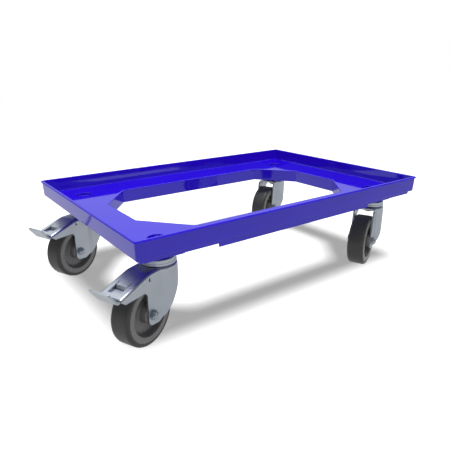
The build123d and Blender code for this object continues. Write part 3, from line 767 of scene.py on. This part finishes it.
def fork_plan(x):
    """Place and inward direction of the fork's wall at each x: round front, hollow blend, then flat side.

    The front is a circle about the swivel axis. The blend is a circle that touches both it and the flat side.
    """
    blend_x = sqrt((CROWN_RADIUS + FORK_BLEND) ** 2 - (FORK_HALF_WIDTH + FORK_BLEND) ** 2)
    blend_y = FORK_HALF_WIDTH + FORK_BLEND
    touch = blend_x * CROWN_RADIUS / (CROWN_RADIUS + FORK_BLEND)
    round_y = np.sqrt(np.maximum(CROWN_RADIUS ** 2 - x ** 2, 0))
    hollow_y = blend_y - np.sqrt(np.maximum(FORK_BLEND ** 2 - (x - blend_x) ** 2, 0))
    stretch = [x < touch, x < blend_x]
    y = np.select(stretch, [round_y, hollow_y], FORK_HALF_WIDTH)
    inward_x = np.select(stretch, [-x / CROWN_RADIUS, (x - blend_x) / FORK_BLEND], 0)
    inward_y = np.select(stretch, [-round_y / CROWN_RADIUS, (hollow_y - blend_y) / FORK_BLEND], -1)
    return np.stack([x, y], -1), np.stack([inward_x, inward_y], -1)


def fork_stations(*outlines):
    """Distances along the fork where its outlines bend, with even steps round its front and blend."""
    front = -CROWN_RADIUS * np.cos(np.linspace(0, FRONT_SWEEP, 40))
    blend = np.linspace(*BLEND_SPAN, 7)
    marks = np.concatenate([line[:, 0] for line in outlines])
    hood = [*np.linspace(HOOD_START, HOOD_START + HOOD_BEND, 8), SLIT_START, *WINDOW]
    pivot = PIVOT_X + PIVOT_PATCH * np.linspace(-1, 1, 9)
    stations = np.concatenate([front, blend, pivot, marks, hood])
    stations = np.clip(stations, -CROWN_RADIUS, max(marks))
    return np.unique(stations.round(3))


def fork_skin(braked):
    """Patches of a fork's outer skin: walls, the bend along their top, crown round its hole, and hood.

    A wall is a plan line carried from the sheet's lower edge up to the bend. The bend is a quarter circle
    that leads into the crown. The crown joins each point of the bend to the hole's point in the same
    direction.
    """
    if braked:
        lower = softened(BRAKED_FRONT + FORK_TOE + BRAKED_REAR)
        crown_end = HOOD_END
        x = fork_stations(lower)
        head = hood_top(x)
    else:
        lower = softened(PLAIN_FRONT + FORK_TOE[:-1] + (PLAIN_TIP,))
        crown_end = CROWN_REAR - HAIR
        upper = np.concatenate([[(-CROWN_RADIUS, CROWN_TOP), (crown_end, CROWN_TOP)], softened(PLAIN_REAR)])
        x = fork_stations(lower, upper)
        head = np.interp(x, upper[:, 0], upper[:, 1])
    place, inward = fork_plan(x)
    crowned = x <= crown_end + NEAR
    bored = braked & (np.abs(x - PIVOT_X) <= PIVOT_PATCH + NEAR)
    foot = np.interp(x, lower[:, 0], lower[:, 1])
    wall_floor = np.where(bored, PIVOT_Z + PIVOT_PATCH, foot)
    start = np.arcsin(np.clip((wall_floor - head + BEND) / BEND, 0, 1))
    wall_top = np.where(crowned, head - BEND + BEND * np.sin(start), head)
    drawn_in = np.where(crowned, BEND * (1 - np.cos(start)), 0)
    below_pivot = (PIVOT_Z - PIVOT_PATCH - foot) / (wall_top - foot + 1e-9)
    rise = np.linspace(0, 1, 4)[:, None] + 0 * x
    rise[1:3] = np.where(bored, np.stack([below_pivot / 2, below_pivot]), rise[1:3])
    wall_plan = place + inward * drawn_in[:, None]
    wall = upright(np.broadcast_to(wall_plan, (4, *place.shape)), foot + rise * (wall_top - foot))
    arc = start[crowned] + (pi / 2 - start[crowned]) * np.linspace(0, 1, 9)[:, None]
    bend_plan = place[crowned] + inward[crowned] * (BEND * (1 - np.cos(arc)))[..., None]
    bend = upright(bend_plan, head[crowned] - BEND + BEND * np.sin(arc))
    keep = np.ones((3, len(x) - 1), bool)
    keep[2] = ~(bored[1:] & bored[:-1])
    patches = [grid(wall, keep=keep), grid(bend)]
    if braked:
        loop = np.concatenate([wall[2, bored], wall[3, bored][::-1]])
        spoke = unit((loop - (PIVOT_X, 0, PIVOT_Z)) * (1, 0, 1))
        flare = (PIVOT_X, FORK_HALF_WIDTH, PIVOT_Z) + spoke * PIVOT_FLARE
        hole = (PIVOT_X, FORK_HALF_WIDTH - PIVOT_DIP, PIVOT_Z) + spoke * PIVOT_RADIUS
        patches.append(grid(np.stack([loop, flare, hole]), closed=True))

    rim = bend[-1]
    on_crown = rim[:, 0] <= (HOOD_START if braked else crown_end) + NEAR
    edge = rim[on_crown]
    across = np.linspace(1, 0, 5)[1:, None] * (0, 1, 0)
    rear = edge[-1] * (1, 0, 1) + edge[-1] * across
    outline = np.concatenate([edge, rear])
    spoke = unit(outline[:, :2])
    hole = upright(spoke * CROWN_HOLE, CROWN_TOP)
    patches.append(grid(np.stack([outline, hole])))
    if braked:
        patches += hood_skin(rim[rim[:, 0] >= HOOD_START - NEAR])
    return patches + [moved(patch, np.diag([1, -1, 1, 1])) for patch in patches]


def hood_skin(edge):
    """Patches of half the hood's top: rows across it from its middle to its bend, less the window and a slit.

    A tab is bent down where the window starts: a tight bend, then a straight fall that leans along the hood.
    """
    share = np.array([0, 0.5 * SLIT_HALF_WIDTH, SLIT_HALF_WIDTH, WINDOW_HALF_WIDTH])
    y = np.hstack([np.broadcast_to(share, (len(edge), 4)), edge[:, 1:2]])
    x = np.broadcast_to(edge[:, :1], y.shape)
    points = np.stack([x, y, hood_top(x)], -1)
    middle_x = (edge[1:, 0] + edge[:-1, 0]) / 2
    in_window = (middle_x > WINDOW[0]) & (middle_x < WINDOW[1])
    in_slit = (middle_x > SLIT_START) & (middle_x < WINDOW[0])
    keep = np.ones((len(edge) - 1, 4), bool)
    keep[in_window, :3] = False
    keep[in_slit, 2] = False
    top = hood_top(WINDOW[0])
    bend_x = WINDOW[0] + TAB_BEND
    fall = softened([
        (WINDOW[0], top, 0), (bend_x, hood_top(bend_x), TAB_BEND), (WINDOW[0] + TAB_LEAN, top - TAB_DROP, 0),
    ], 4)
    tab_y = np.broadcast_to(share[:3], (len(fall), 3))
    tab_x = fall[:, :1] + 0 * tab_y
    tab_z = fall[:, 1:] + 0 * tab_y
    return [grid(points, keep=keep), grid(np.stack([tab_x, tab_y, tab_z], -1))]


def make_forks():
    """The four forks, pressed from sheet: two with hoods and two plain."""
    for name, end, side, braked in CASTORS:
        make_piece(f"pressed_fork_{name}", fork_skin(braked), f"castor_{name}", "zinc_steel",
                   [f"fork_{name}"], castor_place(end, side), sheet=SHEET, edge=SHEET_EDGE)


def make_wheels():
    """Tyres and hubs: their sections turned round the axle. A hub's section is mirrored across its middle."""
    tyre = softened([
        (TYRE_INNER, -RIM_HALF_WIDTH, RIM_ROUND), (WHEEL_RADIUS, -TYRE_HALF_WIDTH, TYRE_SHOULDER),
        (WHEEL_RADIUS, TYRE_HALF_WIDTH, TYRE_SHOULDER), (TYRE_INNER, RIM_HALF_WIDTH, RIM_ROUND),
    ], 8, True)
    far_half = tuple((radius, -along, bend) for radius, along, bend in reversed(HUB))
    hub = softened(HUB + far_half, 4, True)
    for name, end, side, braked in CASTORS:
        place = castor_place(end, side)
        for piece, profile, slot, node in (("rubber_tyre", tyre, "grey_rubber", "tyre"),
                                           ("moulded_hub", hub, "grey_hub", "hub")):
            ring = turned_ring(profile, "y", AXLE, 96, closed=True)
            wheel = make_piece(f"{piece}_{name}", [ring], f"wheel_{name}", slot, [f"{node}_{name}"], place)
            mark_distance(wheel, place)


def mark_distance(wheel, place):
    """Keep each point's distance from the axle, in millimetres, for the hub's finish, which paints shade on
    the dish's slope by that distance.
    """
    points = np.empty(3 * len(wheel.data.vertices))
    wheel.data.vertices.foreach_get("co", points)
    points = points.reshape(-1, 3) / MM - CENTRE
    x, y, z = moved((points, None), place.inverted())[0].T
    distance = np.hypot(x - TRAIL, z - WHEEL_RADIUS)
    wheel.data.attributes.new("from_axle", "FLOAT", "POINT").data.foreach_set("value", distance)


def make_bowls():
    """Swivel bowls, turned: a pressed cup with a round shoulder, and a band round its foot that leans out."""
    ring = turned_ring(softened(BOWL, 6, True), closed=True)
    for name, end, side, braked in CASTORS:
        make_piece(f"pressed_bowl_{name}", [ring], "frame", "zinc_steel", [f"swivel_bowl_{name}"],
                   castor_place(end, side))


def lever_patches():
    """Brake lever: a plate that bends up into the pedal, and two cheeks that run forward to the pivot.

    The plate is stepped up into the hood's window, and is a little narrower than the pedal, whose corners are
    round: near its tip the half width follows a circle.
    """
    bent = softened([(*LEVER_START, 0), (*PEDAL_FOOT, PEDAL_BEND), (*PEDAL_TIP, 0)], 8)
    plate_x = np.array([LEVER_START[0], *LEVER_NECK_SPAN, *LEVER_STEP_SPAN])
    slope = (PEDAL_FOOT[1] - LEVER_START[1]) / (PEDAL_FOOT[0] - LEVER_START[0])
    plate_z = LEVER_START[1] + slope * (plate_x - LEVER_START[0])
    plate_z += np.interp(plate_x, LEVER_STEP_SPAN, (0, LEVER_STEP, LEVER_STEP, 0))
    length = np.linalg.norm(bent[-1] - bent[-2])
    corner = length - PEDAL_CORNER * (1 - np.sin(np.linspace(0, pi / 2, 6)))
    share = np.concatenate([np.linspace(*PEDAL_SPAN, 9) * (length - PEDAL_CORNER), corner]) / length
    pedal = bent[-2] + share[:, None] * (bent[-1] - bent[-2])
    path = np.concatenate([np.stack([plate_x, plate_z], 1), bent[1:-1], pedal])
    x, z = path.T
    to_tip = np.linalg.norm(path - bent[-1], axis=1)
    in_corner = np.clip(PEDAL_CORNER - to_tip, 0, PEDAL_CORNER)
    rounding = np.sqrt(PEDAL_CORNER ** 2 - in_corner ** 2) - PEDAL_CORNER
    neck = np.interp(x, LEVER_NECK_SPAN, (LEVER_HALF_WIDTH, LEVER_NECK))
    flap = np.interp(z, (PEDAL_NECK, PEDAL_SHOULDER), (LEVER_NECK, PEDAL_HALF_WIDTH)) + rounding
    patches = strip(path, np.where(x < PEDAL_FOOT[0], neck, flap), LEVER_SHEET)

    top_start = LEVER_START[1] + LEVER_SHEET
    top_end = top_start + slope * (CHEEK_END - LEVER_START[0])
    eye_x = PIVOT_X - EYE_RADIUS
    eye_round = EYE_RADIUS - 0.1
    cheek = softened([
        (eye_x, PIVOT_Z + EYE_RADIUS, eye_round), (LEVER_START[0], top_start, CHEEK_ROUND),
        (CHEEK_END, top_end, CHEEK_ROUND), (CHEEK_END, top_end - CHEEK_DEPTH, CHEEK_ROUND),
        (eye_x, PIVOT_Z - EYE_RADIUS, eye_round),
    ], 6, True)
    inside = LEVER_HALF_WIDTH - CHEEK_SHEET
    for low, high in ((-LEVER_HALF_WIDTH, -inside), (inside, LEVER_HALF_WIDTH)):
        patches += plate(cheek, low, high)
    return patches


def make_brakes():
    """Brake levers of the two braked castors, and the turned pins they swing on, sunk in the forks' holes."""
    half = PIVOT_PIN_HALF_LENGTH
    radius = PIVOT_RADIUS - PIVOT_PLAY
    section = softened([(0, -half, 0), (radius, -half, 0.5), (radius, half, 0.5), (0, half, 0)])
    pin = turned_ring(section, "y", (PIVOT_X, 0, PIVOT_Z), 24)
    for name, end, side, braked in CASTORS:
        if braked:
            place = castor_place(end, side)
            make_piece(f"bent_brake_lever_{name}", lever_patches(), f"pedal_{name}", "zinc_steel",
                       [f"brake_lever_{name}"], place)
            make_piece(f"brake_pin_{name}", [pin], f"castor_{name}", "zinc_steel",
                       [f"brake_pivot_pin_{name}"], place)


def make_axles():
    """Axle bolts with a dimpled end and a hexagon head, and lock nuts: a hexagon under a round collar.

    Bolts and collars are sections of radius and distance along the axle, turned round it.
    """
    face = FORK_HALF_WIDTH
    hex_end = face + AXLE_NUT_HEX
    nut_end = face + AXLE_NUT
    tip = nut_end + AXLE_END
    collar = softened([
        (AXLE_RADIUS, hex_end - AXLE_NUT_SINK, 0), (AXLE_NUT_COLLAR, hex_end - AXLE_NUT_SINK, 0),
        (AXLE_NUT_COLLAR, nut_end, 1.2), (AXLE_RADIUS + AXLE_NUT_SINK, nut_end, 0.3),
        (AXLE_RADIUS, nut_end - AXLE_NUT_SINK, 0),
    ])
    shank = softened([
        (0, -face, 0), (AXLE_RADIUS, -face, 0), (AXLE_RADIUS, tip - AXLE_CHAMFER, 0),
        (AXLE_RADIUS - AXLE_CHAMFER, tip, 0),
        *[(radius, tip - depth, bend) for radius, depth, bend in AXLE_DIMPLE],
    ])
    head = hexagon_ring(AXLE_FLATS, -face - AXLE_HEAD, -face, 0, "y", AXLE)
    hexagon = hexagon_ring(AXLE_FLATS, face, hex_end, AXLE_RADIUS, "y", AXLE)
    bolt = [turned_ring(shank, "y", AXLE, 36), head]
    nut = [hexagon, turned_ring(collar, "y", AXLE, 36, closed=True)]
    for name, end, side, braked in CASTORS:
        place = castor_place(end, side)
        for piece, patches, node in (("axle_screw", bolt, "axle_bolt"), ("axle_lock_nut", nut, "axle_nut")):
            make_piece(f"{piece}_{name}", patches, f"castor_{name}", "zinc_steel", [f"{node}_{name}"], place,
                       sharp=FASTENER_SHARP)


def make_fixings():
    """Socket screws in the tray's corner pockets and the thin nuts on their ends, four of each in one piece.

    A screw is one section turned round its axis: down in the hexagon socket it follows the hexagon's radius.
    """
    socket = hexagon_radius(SCREW_SOCKET)
    top, bottom = SCREW_HEAD_TOP, SCREW_HEAD_TOP - SCREW_SOCKET_DEPTH
    inside = [
        (0, bottom - SCREW_SOCKET_POINT), (socket * SCREW_SOCKET_TAPER, bottom),
        (socket, top - SCREW_SOCKET_EDGE), (socket + SCREW_SOCKET_EDGE, top),
    ]
    outside = softened([
        (SCREW_FACE, top, 0), (SCREW_HEAD_RADIUS, top, 0.9), (SCREW_HEAD_RADIUS, SCREW_HEAD_BOTTOM, 0.4),
        (SCREW_RADIUS, SCREW_HEAD_BOTTOM, 0.4), (SCREW_RADIUS, SCREW_END + SCREW_CHAMFER, 0),
        (SCREW_RADIUS - SCREW_CHAMFER, SCREW_END, 0), (0, SCREW_END, 0),
    ])
    screw = turned_ring([*inside, *outside], steps=HEX_STEPS)
    nut = hexagon_ring(FIXING_NUT_FLATS, FIXING_NUT_BOTTOM, FIXING_NUT_TOP, SCREW_RADIUS)
    places = [castor_place(end, side) for name, end, side, braked in CASTORS]
    for piece, patch, node in (("socket_screws", screw, "fixing_bolts"), ("thin_nuts", nut, "fixing_nuts")):
        make_piece(piece, [moved(patch, place) for place in places], "frame", "zinc_steel", [node],
                   sharp=FASTENER_SHARP)


def make_camera():
    """Camera where the photograph was taken from."""
    camera = add_object("camera", bpy.data.cameras.new("camera"))
    turn = Euler((radians(90 - CAMERA_PITCH), 0, radians(-CAMERA_YAW))).to_matrix()
    turn = turn @ Matrix.Rotation(radians(-CAMERA_ROLL), 3, "Z")
    camera.matrix_world = Matrix.Translation((CENTRE + CAMERA_PLACE) * MM) @ turn.to_4x4()
    camera.data.lens = CAMERA_LENS
    camera.data.sensor_width = CAMERA_FILM
    camera.data.clip_start = CAMERA_NEAREST * MM
    bpy.context.scene.camera = camera


# Brightness of the room by height, from straight down at 0 to straight up at 1: as mirrored, and as it lights
# A way is a direction. An edge is where a part of the room begins and where it is full, along its way
BACK_OF_ROOM = ((0.0, 0.64), (0.25, 0.57), (0.375, 0.58), (0.48, 0.56), (0.5, 0.2), (1.0, 0.2))
FRONT_OF_ROOM = ((0.0, 0.5), (0.375, 0.58), (0.42, 0.56), (0.47, 1.0), (0.52, 1.0), (0.55, 0.2), (1.0, 0.2))
FRONT_WAY = (0.6, -0.8, 0.0)
FRONT_EDGE = (-0.1, 0.4)
LIGHTING_ROOM = ((0.0, 0.0), (0.49, 0.54), (0.51, 0.88), (1.0, 0.15))
LEFT_GLOW_WAY = (-0.35, 0.88, -0.3)
LEFT_GLOW_EDGE = (0.75, 0.97)
LEFT_GLOW = 0.25
PANEL_WAY = (0.56, 0.83, 0.0)
PANEL_EDGE = (0.55, 0.68)
PANEL = ((0.54, 0.0), (0.59, 0.3), (0.63, 0.35), (0.67, 0.42), (0.8, 0.95), (1.0, 0.95))
CEILING_EDGE = (0.55, 0.72)
CEILING_FRONT_EDGE = (-0.35, 0.0)
CEILING = 0.85

# Floor, half its side in metres, and lamps
FLOOR_HALF = 6.0
FLOOR_GLOW = 0.352
FLOOR_TONE = 0.12
FLOOR_LAMP = 28.0
KEY_LAMP = 2.3
FLOOR_LAMP_SOFTNESS = radians(24)
KEY_LAMP_SOFTNESS = radians(24)
FLOOR_LAMP_TILT = (radians(8), radians(1), 0)
KEY_LAMP_TILT = (radians(3), radians(6), 0)


def greys(stops):
    """Stops of a ramp as grey colours."""
    return [(place, (bright, bright, bright, 1)) for place, bright in stops]


def make_lamp(name, energy, softness, tilt, receivers, blockers=None, mirrored=True):
    """Broad lamp high above: it lights its receivers past its blockers, and is mirrored in them or not."""
    lamp = add_object(name, bpy.data.lights.new(name, "SUN"))
    lamp.data.energy = energy
    lamp.data.angle = softness
    lamp.rotation_euler = tilt
    lamp.visible_glossy = mirrored
    lamp.light_linking.receiver_collection = receivers
    lamp.light_linking.blocker_collection = blockers


def make_floor():
    """White floor that glows a little. No surface mirrors it, because the room has a floor of its own."""
    half = FLOOR_HALF
    corners = [(-half, -half, 0), (half, -half, 0), (half, half, 0), (-half, half, 0)]
    floor = bpy.data.meshes.new("floor")
    floor.from_pydata(corners, [], [(0, 1, 2, 3)])
    floor_object = add_object("floor", floor)
    floor.materials.append(finished(new_material("white_studio_floor")[0], {
        "Base Color": (FLOOR_TONE, FLOOR_TONE, FLOOR_TONE, 1), "Roughness": 0.9, "Specular IOR Level": 0,
        "Emission Color": (1, 1, 1, 1), "Emission Strength": FLOOR_GLOW,
    }))
    floor_object.visible_diffuse = False
    floor_object.visible_glossy = False
    return floor_object


def make_lamps(floor, tray):
    """Lamps high above, each for some of the pieces.

    The floor's lamp brings it to white past everything but the tray, so only the tray throws a soft shadow
    and no grey gathers round the wheels. The tray's lamp isn't mirrored, so no glare hides the deck from
    above.
    """
    names = ("on_floor", "on_tray", "on_rest")
    on_floor, on_tray, on_rest = [bpy.data.collections.new(name) for name in names]
    for collection, thing in ((on_floor, floor), (on_tray, tray), (on_rest, floor), (on_rest, tray)):
        collection.objects.link(thing)
    for member in on_rest.collection_objects:
        member.light_linking.link_state = "EXCLUDE"
    make_lamp("floor_lamp", FLOOR_LAMP, FLOOR_LAMP_SOFTNESS, FLOOR_LAMP_TILT, on_floor, on_tray)
    make_lamp("tray_lamp", KEY_LAMP, KEY_LAMP_SOFTNESS, KEY_LAMP_TILT, on_tray, mirrored=False)
    make_lamp("castor_lamp", KEY_LAMP, KEY_LAMP_SOFTNESS, KEY_LAMP_TILT, on_rest)


def make_room():
    """Plain white room: pale walls, a bright panel behind, a glow to the left and a ceiling over the back.

    The camera sees plain white, gloss mirrors the walls and lights, and dull surfaces are lit from around.
    """
    world = bpy.data.worlds.new("white_room")
    bpy.context.scene.world = world
    world.use_nodes = True
    tree = world.node_tree
    tree.nodes.clear()
    path = add_node(tree, "ShaderNodeLightPath")
    way = add_node(tree, "ShaderNodeTexCoord").outputs["Generated"]
    split = add_node(tree, "ShaderNodeSeparateXYZ", links={"Vector": way})
    height = add_node(tree, "ShaderNodeMapRange", {"From Min": -1.0}, {"Value": split.outputs["Z"]})
    behind, before, panel, lit = [
        add_node(tree, "ShaderNodeValToRGB", {"stops": greys(stops)}, {"Fac": height.outputs["Result"]})
        for stops in (BACK_OF_ROOM, FRONT_OF_ROOM, PANEL, LIGHTING_ROOM)
    ]
    to_front, to_glow, to_panel = [
        add_node(tree, "ShaderNodeVectorMath", {
            "operation": "DOT_PRODUCT", 1: aim,
        }, {0: way}).outputs["Value"]
        for aim in (FRONT_WAY, LEFT_GLOW_WAY, PANEL_WAY)
    ]
    front, panel_edge = [
        add_node(tree, "ShaderNodeMapRange", {"From Min": edge[0], "From Max": edge[1]}, {"Value": along})
        for edge, along in ((FRONT_EDGE, to_front), (PANEL_EDGE, to_panel))
    ]
    walls = add_node(tree, "ShaderNodeMix", links={
        0: front.outputs["Result"], 2: behind.outputs["Color"], 3: before.outputs["Color"],
    })
    panel = add_node(tree, "ShaderNodeMath", {"operation": "MULTIPLY"},
                     {0: panel.outputs["Color"], 1: panel_edge.outputs["Result"]})
    glow, ceiling, ceiling_edge = [
        add_node(tree, "ShaderNodeMapRange", {"From Min": edge[0], "From Max": edge[1], "To Max": full},
                 {"Value": along})
        for edge, full, along in (
            (LEFT_GLOW_EDGE, LEFT_GLOW, to_glow),
            (CEILING_EDGE, CEILING, split.outputs["Z"]),
            (CEILING_FRONT_EDGE, 1.0, split.outputs["Y"]),
        )
    ]
    ceiling = add_node(tree, "ShaderNodeMath", {"operation": "MULTIPLY"},
                       {0: ceiling.outputs["Result"], 1: ceiling_edge.outputs["Result"]})
    lights = add_node(tree, "ShaderNodeMath", {"operation": "MAXIMUM"},
                      {0: panel.outputs["Value"], 1: ceiling.outputs["Value"]})
    lights = add_node(tree, "ShaderNodeMath", links={0: lights.outputs["Value"], 1: glow.outputs["Result"]})
    glossy = add_node(tree, "ShaderNodeMath", links={0: walls.outputs[0], 1: lights.outputs["Value"]})
    seen = add_node(tree, "ShaderNodeMix", {2: 1.0}, {
        0: path.outputs["Is Glossy Ray"], 3: glossy.outputs["Value"],
    })
    strength = add_node(tree, "ShaderNodeMix", links={
        0: path.outputs["Is Diffuse Ray"], 2: seen.outputs[0], 3: lit.outputs["Color"],
    })
    room = add_node(tree, "ShaderNodeBackground", {"Color": (1, 1, 1, 1)}, {"Strength": strength.outputs[0]})
    add_node(tree, "ShaderNodeOutputWorld", links={"Surface": room.outputs["Background"]})
    bpy.context.scene.view_settings.view_transform = "Standard"


dress_nodes()
tray = make_tray()
make_forks()
make_wheels()
make_bowls()
make_brakes()
make_axles()
make_fixings()
make_camera()
make_lamps(make_floor(), tray)
make_room()
